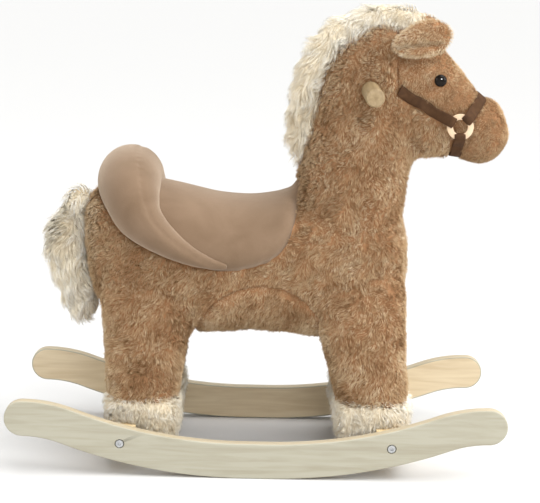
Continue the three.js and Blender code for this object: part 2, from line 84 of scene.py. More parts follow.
# The seam behind the face in side view: down past the ear, along the cheek strap, down the jaw.
FACE_SEAM = [(0.264, 0.380), (0.265, 0.470), (0.250, 0.483), (0.183, 0.521), (0.183, 0.660)]
TAIL_FORWARD = 0.0115  # of the tail's shorn core, towards the rump
TAIL_KNOB = (-0.248, 0.0, 0.353)  # by the hinge, where the tail is sewn on
TAIL_KNOB_RADIUS = 0.0125
CUFF_HEIGHTS = (0.0415, 0.0960)  # of a cuff's core, from the rail up round the leg
EYE_RADIUS = 0.0084
EYE_DOME = 0.0052
EYE_STANDS_OUT = 0.0058  # from its rim to the CAD eye's outer face
EAR_EDGE = [(0.172, 0.568), (0.190, 0.561), (0.215, 0.561), (0.238, 0.566)]  # the head under it
EAR_CREASE = [(0.160, 0.577), (0.176, 0.580), (0.200, 0.584), (0.225, 0.586), (0.260, 0.586)]

ROCKER_BAND = 0.049  # the rocker's height in side view
ROCKER_FLAT = 0.018  # half of the flat stretch in its middle
ROCKER_RADIUS = 0.700
ROCKER_EASE = 0.0018  # of its edges
OUTER_FACE = 0.140  # of either rocker, from the middle
RECESS_FLOOR = 0.0036  # below the rocker's outer face
RECESS_RADIUS = 0.0066
BOLT_RADIUS = 0.0056
HANDLE_EASE = 0.0022

HORIZON = (0.93, 0.925, 0.92, 1.0)  # the studio's light walls
ZENITH = (0.45, 0.447, 0.443, 1.0)
SUN = 3.3
SUN_ANGLE = 60  # degrees across, for soft shadows
SUN_FROM = (0.30, -0.12, 1.0)
# Each area light's place, size and power. The last one lights the eyes only.
AREAS = {
    "front": ((2.6, -1.0, 1.5), 1.6, 60.0),
    "side": ((0.35, -2.3, 1.45), 0.6, 13.0),
    "rear": ((-2.4, -1.3, 1.5), 1.6, 22.0),
    "catch": ((0.75, -2.2, 1.30), 0.45, 120.0),
}

CAMERA_PLACE = (-0.0055, -2.1592, 0.7455)
CAMERA_YAW = 0.53  # degrees, towards +X
CAMERA_PITCH = 12.01  # degrees, down
CAMERA_ROLL = 1.34  # degrees
CAMERA_LENS = 104.67  # for a 36 mm sensor

# ------------------------------------------------------------------ colours


def srgb(r, g, b):
    """A colour given in 8-bit sRGB, as linear RGBA."""
    part = [c / 255 for c in (r, g, b)]
    line = [c / 12.92 if c <= 0.04045 else ((c + 0.055) / 1.055) ** 2.4 for c in part]
    return (*line, 1.0)


BROWNS = [
    srgb(124, 95, 65), srgb(156, 123, 89), srgb(182, 149, 112), srgb(200, 170, 133),
    srgb(213, 188, 153), srgb(227, 207, 175), srgb(236, 220, 193), srgb(243, 231, 209),
]  # fmt: skip
CREAMS = [
    srgb(231, 213, 181), srgb(240, 227, 201), srgb(247, 238, 218), srgb(251, 246, 234),
    srgb(254, 251, 244),
]  # fmt: skip

# ------------------------------------------------------------------ materials


def new_material(name):
    """A material with its Principled shader: (material, nodes, links, shader)."""
    mat = bpy.data.materials.new(name)
    mat.use_nodes = True
    tree = mat.node_tree
    shader = tree.nodes["Principled BSDF"]
    return mat, tree.nodes, tree.links, shader


def noise(nodes, links, vector, scale, detail=3.0, distortion=0.0):
    node = nodes.new("ShaderNodeTexNoise")
    node.inputs["Scale"].default_value = scale
    node.inputs["Detail"].default_value = detail
    node.inputs["Distortion"].default_value = distortion
    links.new(vector, node.inputs["Vector"])
    return node.outputs["Fac"]


def ramp(nodes, links, factor, stops):
    """A colour ramp over factor, with stops of (position, colour)."""
    node = nodes.new("ShaderNodeValToRGB")
    node.color_ramp.elements.remove(node.color_ramp.elements[0])
    node.color_ramp.elements[0].position, node.color_ramp.elements[0].color = stops[0]
    for position, colour in stops[1:]:
        node.color_ramp.elements.new(position).color = colour
    links.new(factor, node.inputs["Fac"])
    return node.outputs["Color"]


def calculated(nodes, links, operation, *inputs, clamp=False):
    """A maths node over sockets and numbers."""
    node = nodes.new("ShaderNodeMath")
    node.operation = operation
    node.use_clamp = clamp
    for socket, value in zip(node.inputs, inputs, strict=False):
        if isinstance(value, float):
            socket.default_value = value
        else:
            links.new(value, socket)
    return node.outputs[0]


def bump(nodes, links, height, shader, strength, distance):
    node = nodes.new("ShaderNodeBump")
    node.inputs["Strength"].default_value = strength
    node.inputs["Distance"].default_value = distance
    links.new(height, node.inputs["Height"])
    links.new(node.outputs["Normal"], shader.inputs["Normal"])


def cloth_material(name, low, high, grain, blotch, roughness, sheen, relief, tint=None):
    """Napped cloth: blotches between two colours, a fine grain, and a soft sheen."""
    mat, nodes, links, shader = new_material(name)
    place = nodes.new("ShaderNodeTexCoord").outputs["Object"]
    wide = noise(nodes, links, place, blotch, detail=4.0, distortion=0.6)
    fine = noise(nodes, links, place, grain, detail=2.0)
    mix = calculated(nodes, links, "MULTIPLY_ADD", fine, 0.45, wide)
    colour = ramp(nodes, links, mix, [(0.52, low), (0.92, high)])
    links.new(colour, shader.inputs["Base Color"])
    bump(nodes, links, fine, shader, relief, 0.0006)
    shader.inputs["Roughness"].default_value = roughness
    shader.inputs["Sheen Weight"].default_value = sheen
    shader.inputs["Sheen Roughness"].default_value = 0.5
    shader.inputs["Sheen Tint"].default_value = tint or high
    shader.inputs["Specular IOR Level"].default_value = 0.15
    return mat


def pile_material(name, colour, sheen):
    """One tone of pile: its variation comes from the strands' own tones, and from painted shade that darkens
    each strand towards its root.
    """
    mat, _, _, shader = new_material(name)
    shader.inputs["Base Color"].default_value = colour
    shader.inputs["Roughness"].default_value = 0.9
    shader.inputs["Specular IOR Level"].default_value = 0.1
    shader.inputs["Sheen Weight"].default_value = sheen
    shader.inputs["Sheen Roughness"].default_value = 0.5
    shader.inputs["Sheen Tint"].default_value = colour
    return mat


def wood_material(name, along, low, high, streaks=1.0, plies=0, roughness=0.5):
    """Sanded wood with its grain along an axis, and plies across Y on its edges."""
    mat, nodes, links, shader = new_material(name)
    place = nodes.new("ShaderNodeTexCoord")
    stretch = nodes.new("ShaderNodeMapping")
    scale = {"x": (5, 60, 60), "y": (60, 5, 60), "z": (60, 60, 5)}[along]
    stretch.inputs["Scale"].default_value = scale
    links.new(place.outputs["Object"], stretch.inputs["Vector"])
    grain = noise(nodes, links, stretch.outputs["Vector"], 2.2 * streaks, detail=6.0, distortion=0.4)
    colour = ramp(nodes, links, grain, [(0.32, low), (0.62, high)])
    if plies:
        split = nodes.new("ShaderNodeSeparateXYZ")
        links.new(place.outputs["Object"], split.inputs["Vector"])
        stripe = calculated(nodes, links, "MULTIPLY", split.outputs["Y"], math.tau * plies)
        wave = calculated(nodes, links, "SINE", stripe)
        edge = nodes.new("ShaderNodeSeparateXYZ")
        links.new(place.outputs["Normal"], edge.inputs["Vector"])
        flat = calculated(nodes, links, "ABSOLUTE", edge.outputs["Y"])
        on_edge = calculated(nodes, links, "LESS_THAN", flat, 0.6)
        share = calculated(nodes, links, "MULTIPLY", wave, on_edge, clamp=True)
        mix = nodes.new("ShaderNodeMix")
        mix.data_type = "RGBA"
        links.new(share, mix.inputs["Factor"])
        links.new(colour, mix.inputs["A"])
        mix.inputs["B"].default_value = srgb(214, 188, 146)
        colour = mix.outputs["Result"]
    links.new(colour, shader.inputs["Base Color"])
    shader.inputs["Roughness"].default_value = roughness
    shader.inputs["Specular IOR Level"].default_value = 0.35
    bump(nodes, links, grain, shader, 0.12, 0.0004)
    return mat


def steel_material():
    mat, nodes, links, shader = new_material("zinc_steel")
    place = nodes.new("ShaderNodeTexCoord").outputs["Object"]
    marks = noise(nodes, links, place, 900.0)
    colour = ramp(nodes, links, marks, [(0.3, srgb(168, 170, 172)), (0.7, srgb(206, 207, 208))])
    links.new(colour, shader.inputs["Base Color"])
    shader.inputs["Metallic"].default_value = 1.0
    shader.inputs["Roughness"].default_value = 0.38
    bump(nodes, links, marks, shader, 0.1, 0.0001)
    return mat


def eye_material():
    mat, nodes, links, shader = new_material("eye_gloss")
    place = nodes.new("ShaderNodeTexCoord").outputs["Object"]
    depth = noise(nodes, links, place, 160.0)
    colour = ramp(nodes, links, depth, [(0.3, (0.002, 0.0018, 0.0016, 1)), (0.8, (0.01, 0.007, 0.005, 1))])
    links.new(colour, shader.inputs["Base Color"])
    shader.inputs["Roughness"].default_value = 0.04
    shader.inputs["Specular IOR Level"].default_value = 0.12
    return mat


# ------------------------------------------------------------------ meshes


def mesh_object(name, verts, faces, materials, slots=None, smooth=True):
    """An object from arrays: verts (n, 3), and faces as one array or a list of tuples."""
    mesh = bpy.data.meshes.new(name)
    mesh.from_pydata(verts, [], faces)
    for mat in materials:
        mesh.materials.append(mat)
    if slots is not None:
        mesh.polygons.foreach_set("material_index", np.asarray(slots, dtype=np.int32))
    mesh.polygons.foreach_set("use_smooth", np.full(len(mesh.polygons), smooth))
    mesh.update()
    obj = bpy.data.objects.new(name, mesh)
    bpy.context.scene.collection.objects.link(obj)
    return obj


def dressed(obj, body, slot, *nodes, fill=None):
    """A piece put on its body, standing for its CAD nodes. slot is not used. fill is not used."""
    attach(obj, body)
    if nodes:
        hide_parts(*nodes)
    return obj


def add_modifier(obj, kind, **values):
    mod = obj.modifiers.new(kind.lower(), kind)
    for key, value in values.items():
        setattr(mod, key, value)
    return mod


def evaluated(obj):
    """(verts, faces) of an object with its modifiers, its quads and triangles as tuples."""
    dg = bpy.context.evaluated_depsgraph_get()
    shown = obj.evaluated_get(dg)
    mesh = shown.to_mesh()
    verts = np.empty(len(mesh.vertices) * 3)
    mesh.vertices.foreach_get("co", verts)
    faces = [tuple(p.vertices) for p in mesh.polygons]
    shown.to_mesh_clear()
    return verts.reshape(-1, 3), faces


def discard(obj):
    mesh = obj.data
    bpy.data.objects.remove(obj)
    bpy.data.meshes.remove(mesh)


def joined(*parts):
    """Several (verts, faces) pairs as one."""
    all_verts, all_faces, start = [], [], 0
    for verts, faces in parts:
        all_verts.append(verts)
        all_faces += [tuple(start + i for i in face) for face in faces]
        start += len(verts)
    return np.vstack(all_verts), all_faces


def placed(verts, matrix):
    matrix = np.array(matrix)
    return verts @ matrix[:3, :3].T + matrix[:3, 3]


def node_mesh(names):
    """The vertices and faces of several CAD nodes as one."""
    parts = []
    for name in names:
        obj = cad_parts[name]
        verts = np.empty(len(obj.data.vertices) * 3)
        obj.data.vertices.foreach_get("co", verts)
        faces = [polygon.vertices for polygon in obj.data.polygons]
        parts.append((placed(verts.reshape(-1, 3), obj.matrix_world), faces))
    return joined(*parts)


def middle_at(node, y):
    """The middle of a CAD node's box in side view, at some y."""
    low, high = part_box(node)
    return np.array([(low[0] + high[0]) / 2, y, (low[2] + high[2]) / 2])


def facing_side(centre, side):
    """The placing of a turned form whose local +Z points out to a side."""
    return Matrix.Translation(Vector(centre)) @ Matrix.Rotation(-side * math.pi / 2, 4, "X")


def tree_of(*objects):
    """A BVH of some finished pieces, to keep pile from growing through them."""
    verts, faces = joined(*[evaluated(obj) for obj in objects])
    return BVHTree.FromPolygons(verts.tolist(), faces)


def finder_of(points):
    """A KD tree of some points, which answers with their numbers."""
    finder = kdtree.KDTree(len(points))
    for k, point in enumerate(points):
        finder.insert(point, k)
    finder.balance()
    return finder


class Skin:
    """A surface as arrays, with what sampling and smoothing need."""

    def __init__(self, verts, faces):
        self.verts = verts
        self.faces = faces
        corners = np.array([f if len(f) == 4 else (*f, f[0]) for f in faces])
        tris = np.vstack([corners[:, [0, 1, 2]], corners[:, [0, 2, 3]]])
        owner = np.tile(np.arange(len(faces)), 2)
        real = (tris[:, 0] != tris[:, 2]) & (tris[:, 1] != tris[:, 2])
        self.tris, self.owner = tris[real], owner[real]
        pairs = np.vstack([corners[:, [k, (k + 1) % 4]] for k in range(4)])
        pairs = np.unique(np.sort(pairs[pairs[:, 0] != pairs[:, 1]], axis=1), axis=0)
        self.edges = pairs
        self.degree = np.bincount(pairs.ravel(), minlength=len(verts)).clip(1)[:, None]
        self.find_normals()

    def find_normals(self):
        a, b, c = (self.verts[self.tris[:, k]] for k in range(3))
        cross = np.cross(b - a, c - a)
        self.areas = np.linalg.norm(cross, axis=1) / 2
        self.tri_normals = cross / np.maximum(np.linalg.norm(cross, axis=1), 1e-12)[:, None]
        total = np.zeros_like(self.verts)
        for k in range(3):
            np.add.at(total, self.tris[:, k], cross)
        self.normals = total / np.maximum(np.linalg.norm(total, axis=1), 1e-12)[:, None]

    def average(self, values):
        """Each vertex's neighbours' mean of a per-vertex array."""
        total = np.zeros_like(values)
        np.add.at(total, self.edges[:, 0], values[self.edges[:, 1]])
        np.add.at(total, self.edges[:, 1], values[self.edges[:, 0]])
        return total / (self.degree if values.ndim > 1 else self.degree[:, 0])

    def smooth(self, times):
        for _ in range(times):
            self.verts = (self.verts + self.average(self.verts)) / 2
        self.find_normals()

    def shift(self, distance):
        """Moves each vertex along its normal."""
        self.verts = self.verts + self.normals * np.reshape(distance, (-1, 1))
        self.find_normals()

    def tree(self):
        return BVHTree.FromPolygons(self.verts.tolist(), self.faces)


def largest_island(verts, faces):
    """The largest connected part of a surface."""
    label = np.arange(len(verts))
    corners = np.array([f if len(f) == 4 else (*f, f[0]) for f in faces])
    for _ in range(400):
        low = label[corners].min(axis=1)
        before = label.copy()
        for k in range(4):
            np.minimum.at(label, corners[:, k], low)
        label = label[label]
        if (label == before).all():
            break
    names, counts = np.unique(label[corners[:, 0]], return_counts=True)
    kept = label == names[counts.argmax()]
    number = np.cumsum(kept) - 1
    return verts[kept], [tuple(number[i] for i in f) for f in faces if kept[f[0]]]


def remeshed(name, verts, faces, voxel):
    """A closed, even skin round some solids: their union."""
    obj = mesh_object(name, verts, faces, [])
    add_modifier(obj, "REMESH", mode="VOXEL", voxel_size=voxel)
    verts, faces = evaluated(obj)
    discard(obj)
    return Skin(*largest_island(verts, faces))


def spline(points, count):
    """count points along a Catmull-Rom curve through some points of any dimension."""
    p = np.asarray(points, dtype=float)
    p = np.vstack([2 * p[0] - p[1], p, 2 * p[-1] - p[-2]])
    t = np.linspace(0, len(p) - 3 - 1e-9, count)
    i = t.astype(int)
    f = (t - i)[:, None]
    a, b, c, d = p[i], p[i + 1], p[i + 2], p[i + 3]
    return 0.5 * (2 * b + (c - a) * f + (2 * a - 5 * b + 4 * c - d) * f**2 + (3 * b - a - 3 * c + d) * f**3)


def grid_faces(rows, count, looped=False):
    """Quads between neighbouring rings of count points, and from the last to the first if looped."""
    pairs = [(r, (r + 1) % rows) for r in range(rows if looped else rows - 1)]
    return [
        (r * count + i, r * count + (i + 1) % count, s * count + (i + 1) % count, s * count + i)
        for r, s in pairs
        for i in range(count)
    ]


def loft(rings):
    """A closed tube through rings of equal length: its vertices and faces."""
    rings = np.asarray(rings)
    rows, count = rings.shape[:2]
    faces = grid_faces(rows, count)
    verts = np.vstack([rings.reshape(-1, 3), rings[0].mean(axis=0), rings[-1].mean(axis=0)])
    start, end, last = len(verts) - 2, len(verts) - 1, (rows - 1) * count
    for i in range(count):
        faces.append((start, (i + 1) % count, i))
        faces.append((end, last + i, last + (i + 1) % count))
    return verts, faces


def level_ring(radius, turn, height):
    return np.column_stack([radius * np.cos(turn), radius * np.sin(turn), np.full(len(turn), height)])


def lathe(profile, sides, matrix):
    """A turned form: profile is (radius, height) pairs, from axis to axis, about local +Z."""
    turn = np.linspace(0, math.tau, sides, endpoint=False)
    verts, faces = loft([level_ring(r, turn, h) for r, h in profile])
    return placed(verts, matrix), faces


def side_distance(points, line):
    """How far points are, in side view, from a line of (x, z) points."""
    return np.linalg.norm(points[:, None, [0, 2]] - line[None], axis=2).min(axis=1)


def unit(v):
    return v / np.maximum(np.linalg.norm(v, axis=-1, keepdims=True), 1e-12)


# ------------------------------------------------------------------ pile


class Pile:
    """How a panel's pile grows: lengths in metres, lean in degrees, density per square metre."""

    def __init__(self, tones, length, density, width, lean, clump, gather, curl=0.3, rings=2, contrast=0.45):
        self.tones = tones
        self.length = length
        self.density = density
        self.width = width
        self.lean = lean
        self.clump = clump
        self.gather = gather
        self.curl = curl
        self.rings = rings
        self.contrast = contrast


def scatter(skin, density, rng, keep=None):
    """Random points on a skin and their normals, evenly by area."""
    areas = skin.areas if keep is None else skin.areas * keep[skin.owner]
    count = int(areas.sum() * density)
    which = np.searchsorted(np.cumsum(areas), rng.random(count) * areas.sum()).clip(0, len(areas) - 1)
    u, v = rng.random(count), rng.random(count)
    u, v = np.where(u + v > 1, 1 - u, u), np.where(u + v > 1, 1 - v, v)
    corners = skin.tris[which]
    weights = np.stack([1 - u - v, u, v], axis=1)[:, :, None]
    points = (skin.verts[corners] * weights).sum(axis=1)
    normals = unit((skin.normals[corners] * weights).sum(axis=1))
    return points, normals


def waves(points, size, seed):
    """A smooth field between about -1 and 1 that varies over size metres."""
    rng = np.random.default_rng(seed)
    total = np.zeros(len(points))
    for _ in range(6):
        way = rng.normal(size=3)
        way *= math.tau / size / np.linalg.norm(way) * rng.uniform(0.6, 1.4)
        total += np.sin(points @ way + rng.uniform(0, math.tau))
    return total / 2.4


def grow(name, skin, pile, nap, seed, keep=None, blockers=(), body="horse", slot="plush", trim=None):
    """Pile on a skin as tapered strands in tufts. nap gives the way each one leans, from its root."""
    rng = np.random.default_rng(seed)
    roots, normals = scatter(skin, pile.density, rng, keep)
    length = pile.length * rng.uniform(0.8, 1.15, len(roots))
    if trim is not None:
        length = length * trim(roots)
    free = length > SHORTEST
    for tree, reach in blockers:
        for i in np.flatnonzero(free):
            if tree.ray_cast(Vector(roots[i] - normals[i] * 0.004), Vector(normals[i]), reach)[0] is not None:
                free[i] = False
    roots, normals, length = roots[free], normals[free], length[free]
    count = len(roots)

    flat = nap(roots)
    flat = unit(flat - normals * (flat * normals).sum(axis=1, keepdims=True))
    side = np.cross(normals, flat)
    lean = np.radians(pile.lean) * (1 + 0.30 * waves(roots, 0.035, seed + 1))
    swing = 0.7 * waves(roots, 0.030, seed + 2)[:, None]
    lay = flat * np.cos(swing) + side * np.sin(swing)
    way = normals * np.cos(lean)[:, None] + lay * np.sin(lean)[:, None]

    centres = rng.choice(count, max(1, count // pile.clump), replace=False)
    finder = finder_of(roots[centres])
    own = np.array([finder.find(p)[1] for p in roots])
    tuft_way = unit(way[centres] + pile.curl * rng.normal(size=(len(centres), 3)))
    tuft_tip = roots[centres] + tuft_way * (length[centres] * 1.05)[:, None]
    tuft_tone = rng.normal(0, pile.contrast, len(centres))

    strand_way = unit(way + 0.6 * pile.curl * rng.normal(size=(count, 3)))
    tips = roots + strand_way * length[:, None]
    gather = (pile.gather * rng.uniform(0.3, 1.2, count)).clip(0, 0.95)[:, None]
    tips = tips * (1 - gather) + tuft_tip[own] * gather
    control = roots + unit(normals + 0.35 * way) * (length * 0.55)[:, None]

    steps = pile.rings
    rings = []
    for k in range(steps):
        f = k / steps
        middle = (1 - f) ** 2 * (roots - 0.0008 * normals) + 2 * f * (1 - f) * control + f * f * tips
        along = unit(2 * (1 - f) * (control - roots) + 2 * f * (tips - control) + 1e-9)
        across = unit(np.cross(along, rng.normal(size=3) + 0.3))
        up = np.cross(along, across)
        radius = pile.width / 2 * (1 - 0.55 * f)
        rings.append([middle + radius * (across * math.cos(a) + up * math.sin(a)) for a in (0.3, 2.4, 4.5)])
    per = 3 * steps + 1
    verts = np.empty((count, per, 3))
    for k, ring in enumerate(rings):
        for j in range(3):
            verts[:, 3 * k + j] = ring[j]
    verts[:, -1] = tips

    local, height = [], []
    for k in range(steps):
        for j in range(3):
            a, b = 3 * k + j, 3 * k + (j + 1) % 3
            facets = [(a, b, b + 3), (a, b + 3, a + 3)] if k < steps - 1 else [(a, b, per - 1)]
            local += facets
            height += [(k + 0.5) / steps] * len(facets)
    local, height = np.array(local), np.array(height)

    middle_tone = (len(pile.tones) - 1) / 2
    patches = waves(roots, 0.07, seed + 3)
    tone = middle_tone + tuft_tone[own] + pile.contrast * (patches + rng.normal(0, 0.7, count))
    # Each strand steps from a darker tone at its root to a lighter one at its tip: painted shade deep in the
    # pile.
    level = tone[:, None] + (height - 0.5)[None, :] * 1.6
    slots = np.rint(level).clip(0, len(pile.tones) - 1).astype(int)

    order = np.argsort(roots[:, 0] + 0.9 * np.sign(roots[:, 1]))
    parts = math.ceil(count * len(local) / PIECE_FACES)
    for k, chosen in enumerate(np.array_split(order, parts)):
        faces = (local[None] + (np.arange(len(chosen)) * per)[:, None, None]).reshape(-1, 3)
        title = name if parts == 1 else f"{name}_{k + 1}"
        obj = mesh_object(title, verts[chosen].reshape(-1, 3), faces, pile.tones, slots[chosen].ravel())
        dressed(obj, body, slot)


def nap_down_and_back(points):
    """Pile that lies down and back over the body and head."""
    way = np.tile([-0.55, 0.0, -1.0], (len(points), 1))
    way[:, 1] += 0.25 * np.sign(points[:, 1])
    return way


def nap_down(points):
    """Pile that hangs straight down."""
    return np.tile([0.0, 0.0, -1.0], (len(points), 1)) + 0.15 * points * [0, 1, 0]


def nap_of_tail(points):
    """Away from the tail's root: back over its top, and down its sides."""
    return (points - tail_root) * [1.0, 0.6, 1.0]


def shorn_by_seams(points):
    """Shorter pile beside the seams, which draw it in."""
    away = np.array([seam_finder.find(point)[2] for point in points])
    return (0.15 + away / 0.011).clip(0, 1)


def shorn_by_saddle(points):
    """None under the seat or where the handle comes through, and shorter beside the seams."""
    from_handle = np.linalg.norm((points - handle_middle)[:, [0, 2]], axis=1)
    covered = (seat_field(points) > -0.0005) | (from_handle < 0.0118)
    return np.where(covered, 0.0, shorn_by_seams(points))


def shorn_by_eyes(points):
    """None under the eyes, and shorter beside them and the seams."""
    share = shorn_by_seams(points)
    for side in SIDES.values():
        away = np.linalg.norm(points - eye_place(side), axis=1)
        share *= np.where(away < EYE_RADIUS + 0.0004, 0.0, (0.50 + away / 0.030).clip(0, 1))
    return share


def shorn_at_rump(points):
    """Shorter pile where the tail lies against the rump."""
    return (0.30 + (tail_root[0] - points[:, 0]) / 0.030).clip(0, 1)


# ------------------------------------------------------------------ the stuffed body

PANELS = {
    "torso": ["torso_cover", "torso_stuffing"],
    "belly": ["belly_panel"],
    "neck": ["neck_cover", "neck_stuffing"],
    "head": ["head_cover", "head_stuffing"],
    "muzzle": ["muzzle_cover"],
    **{f"leg_{corner}": [f"leg_cover_{corner}", f"leg_stuffing_{corner}"] for corner in CORNERS},
}
PANEL_INSET = {"head": 0.0035, "muzzle": 0.0040}  # room for the pile, shorter on the face
DEEP_INSET = 0.0056
COAT = ("torso", "neck", *(f"leg_{corner}" for corner in CORNERS))  # no seam shows between these
FACE = ("head", "muzzle")
FRAME_NODES = ["body_board", "neck_board", "neck_brace_right", "neck_brace_left"]


def panel_of_faces(skin):
    """The name of the CAD panel nearest to each face."""
    names = list(PANELS)
    trees = []
    for name in names:
        verts, faces = node_mesh(PANELS[name][:1])
        trees.append(BVHTree.FromPolygons(verts.tolist(), faces))
    middles = np.array([skin.verts[list(f)].mean(axis=0) for f in skin.faces])
    distance = np.array([[tree.find_nearest(Vector(p))[3] for tree in trees] for p in middles])
    panel = distance.argmin(axis=1)
    seam_x, seam_z = np.array(FACE_SEAM).T
    behind = middles[:, 0] < np.interp(middles[:, 2], seam_z, seam_x)
    neck, head, muzzle = (names.index(name) for name in ("neck", "head", "muzzle"))
    panel[behind & ((panel == head) | (panel == muzzle))] = neck
    panel[~behind & (panel == neck)] = head
    return names, panel


def handle_plug():
    """A rod that fills the handle's hole, so that the skin closes round the dowel."""
    profile = [(ON_AXIS, -0.050), (0.0145, -0.050), (0.0145, 0.050), (ON_AXIS, 0.050)]
    return lathe(profile, 24, facing_side(middle_at("handle_bar", 0), SIDES["right"]))


def build_body():
    """The fused body as a Skin, with its panels' names and each face's panel."""
    posts = [f"leg_post_{corner}" for corner in CORNERS]
    soft = [node for nodes in PANELS.values() for node in nodes]
    solid = joined(node_mesh(soft + FRAME_NODES + posts), handle_plug())
    skin = remeshed("body", *solid, VOXEL)
    names, panel = panel_of_faces(skin)
    skin.smooth(BODY_SMOOTHING)
    inset = np.full(len(skin.verts), DEEP_INSET)
    for face, k in zip(skin.faces, panel, strict=True):
        inset[list(face)] = PANEL_INSET.get(names[k], DEEP_INSET)
    for _ in range(10):
        inset = (inset + skin.average(inset)) / 2
    skin.shift(-inset)
    skin.smooth(2)
    return skin, names, panel


def press_eye_sockets(skin):
    """Sinks the head round each eye."""
    for side in SIDES.values():
        away = np.linalg.norm(skin.verts - eye_place(side), axis=1)
        skin.shift(-0.0030 * np.exp(-((away / 0.013) ** 2)))


def press_under_straps(skin):
    """Sinks the skin under the straps round the head, and swells the muzzle ahead of the nose strap."""
    hub = ring_place(1) * [1, 0, 1]
    for way, depth, swell in ((NOSE_WAY, 0.0035, 0.0020), (CHIN_WAY, 0.0022, 0.0)):
        way = unit(np.array([way[0], 0.0, way[1]]))
        ahead = np.array([abs(way[2]), 0.0, -way[0] * np.sign(way[2])])
        along = (skin.verts - hub) @ way
        off = (skin.verts - hub) @ ahead
        near = np.exp(-((off / 0.0085) ** 2)) * ((along - 0.010) / 0.012).clip(0, 1)
        front = np.exp(-(((off - 0.020) / 0.010) ** 2)) * ((along - 0.005) / 0.012).clip(0, 1)
        skin.shift(swell * front - depth * near)


def press_under_ears(skin):
    """Hollows the head under the lower edge of each ear."""
    away = side_distance(skin.verts, spline(EAR_EDGE, 80))
    skin.shift(-0.0050 * np.abs(skin.normals[:, 1]) * np.exp(-((away / 0.0080) ** 2)))


def press_seams(skin, names, panel):
    """Draws the skin in along the seams that show, and returns the points on them."""
    groups = [0 if name in COAT else 1 if name in FACE else 2 for name in names]
    first = np.full(len(skin.verts), -1)
    seam = np.zeros(len(skin.verts))
    for face, k in zip(skin.faces, panel, strict=True):
        for i in face:
            if first[i] < 0:
                first[i] = groups[k]
            elif first[i] != groups[k]:
                seam[i] = 1.0
    on_seam = seam > 0
    verts = skin.verts.copy()
    line = skin.edges[on_seam[skin.edges[:, 0]] & on_seam[skin.edges[:, 1]]]
    for _ in range(12):
        total, number = np.zeros_like(verts), np.zeros(len(verts))
        for a, b in ((0, 1), (1, 0)):
            np.add.at(total, line[:, a], verts[line[:, b]])
            np.add.at(number, line[:, a], 1)
        moved = number >= 2
        verts[moved] = (verts[moved] + total[moved] / number[moved, None]) / 2
    skin.verts = verts
    near = seam.copy()
    for _ in range(3):
        near = np.maximum(near * 0.5 + skin.average(near) * 0.5, near * 0.6)
    skin.find_normals()
    skin.shift(-SEAM_DEPTH * near.clip(0, 1))
    return skin.verts[on_seam]


def panel_object(name, skin, faces, material):
    """Some of a skin's faces as a cover with its own thickness."""
    used = np.unique([i for f in faces for i in f])
    number = {int(v): k for k, v in enumerate(used)}
    obj = mesh_object(name, skin.verts[used], [tuple(number[i] for i in f) for f in faces], [material])
    add_modifier(obj, "SOLIDIFY", thickness=0.0028, offset=-1.0)
    return obj


def body_panels(skin, names, panel, material):
    """Each panel's own cover, standing for its CAD nodes."""
    for k, name in enumerate(names):
        faces = [f for f, p in zip(skin.faces, panel, strict=True) if p == k]
        obj = panel_object(f"{name}_pelt", skin, faces, material)
        dressed(obj, "horse", "plush", *PANELS[name], fill=0.9)


# ------------------------------------------------------------------ the saddle


def inside_by(points, outline):
    """How far each (x, z) point is inside a closed outline, negative outside."""
    a = np.asarray(outline)
    b = np.roll(a, -1, axis=0)
    p = points[:, None, :]
    ab = b - a
    t = (((p - a) * ab).sum(-1) / (ab**2).sum(-1)).clip(0, 1)
    away = np.linalg.norm(p - (a + t[..., None] * ab), axis=-1).min(axis=1)
    with np.errstate(divide="ignore", invalid="ignore"):
        cross_x = a[:, 0] + (p[..., 1] - a[:, 1]) * ab[:, 0] / ab[:, 1]
    crosses = ((a[:, 1] > p[..., 1]) != (b[:, 1] > p[..., 1])) & (p[..., 0] < cross_x)
    return np.where(crosses.sum(axis=1) % 2 == 1, away, -away)


def seat_field(verts):
    """How far each point is inside the seat's outline, in side view."""
    outline = spline([*SEAT_OUTLINE, SEAT_OUTLINE[0]], 90)[:-1]
    return inside_by(verts[:, [0, 2]], outline)


def stuffed(name, verts, faces, voxel, cap):
    """A stuffed cover as a Skin, swollen by a short cloth simulation. A point moves cap at most."""
    skin = remeshed(name, verts, faces, voxel)
    skin.smooth(3)
    obj = mesh_object(name, skin.verts, skin.faces, [])
    cloth = add_modifier(obj, "CLOTH")
    cloth.settings.use_pressure = True
    cloth.settings.uniform_pressure_force = PRESSURE
    cloth.settings.effector_weights.gravity = 0
    cloth.point_cache.frame_end = LAST_FRAME
    for number in range(1, LAST_FRAME + 1):
        bpy.context.scene.frame_set(number)
    swollen, _ = evaluated(obj)
    discard(obj)
    bpy.context.scene.frame_set(1)
    move = swollen - skin.verts
    far = np.linalg.norm(move, axis=1, keepdims=True)
    skin.verts = skin.verts + move * np.minimum(1, cap / np.maximum(far, 1e-9))
    skin.smooth(1)
    return skin


def saddle_piece(name, skin, material, fill, node):
    """A finished piece of the saddle, standing for a CAD node."""
    obj = mesh_object(name, skin.verts, skin.faces, [material])
    add_modifier(obj, "SUBSURF", levels=1, render_levels=1)
    return dressed(obj, "horse", "suede", node, fill=fill)


def build_seat(skin, material):
    """The seat pad: the body's own surface inside the saddle's outline, raised with a round rim."""
    pad = Skin(skin.verts.copy(), skin.faces)
    pad.smooth(22)
    field = seat_field(pad.verts)
    rise = PAD_RISE * np.sqrt(1 - (1 - (field / PAD_EDGE).clip(0, 1)) ** 2)
    pad.shift(np.where(field < 0, field * 0.6, rise))
    kept = [f for f in pad.faces if field[list(f)].min() > -0.007]
    shell = panel_object("shell", pad, kept, material)
    shell.modifiers["solidify"].thickness = 0.014
    solid = evaluated(shell)
    discard(shell)
    return saddle_piece("seat_pad", stuffed("seat", *solid, 0.004, 0.003), material, 0.7, "saddle_seat")


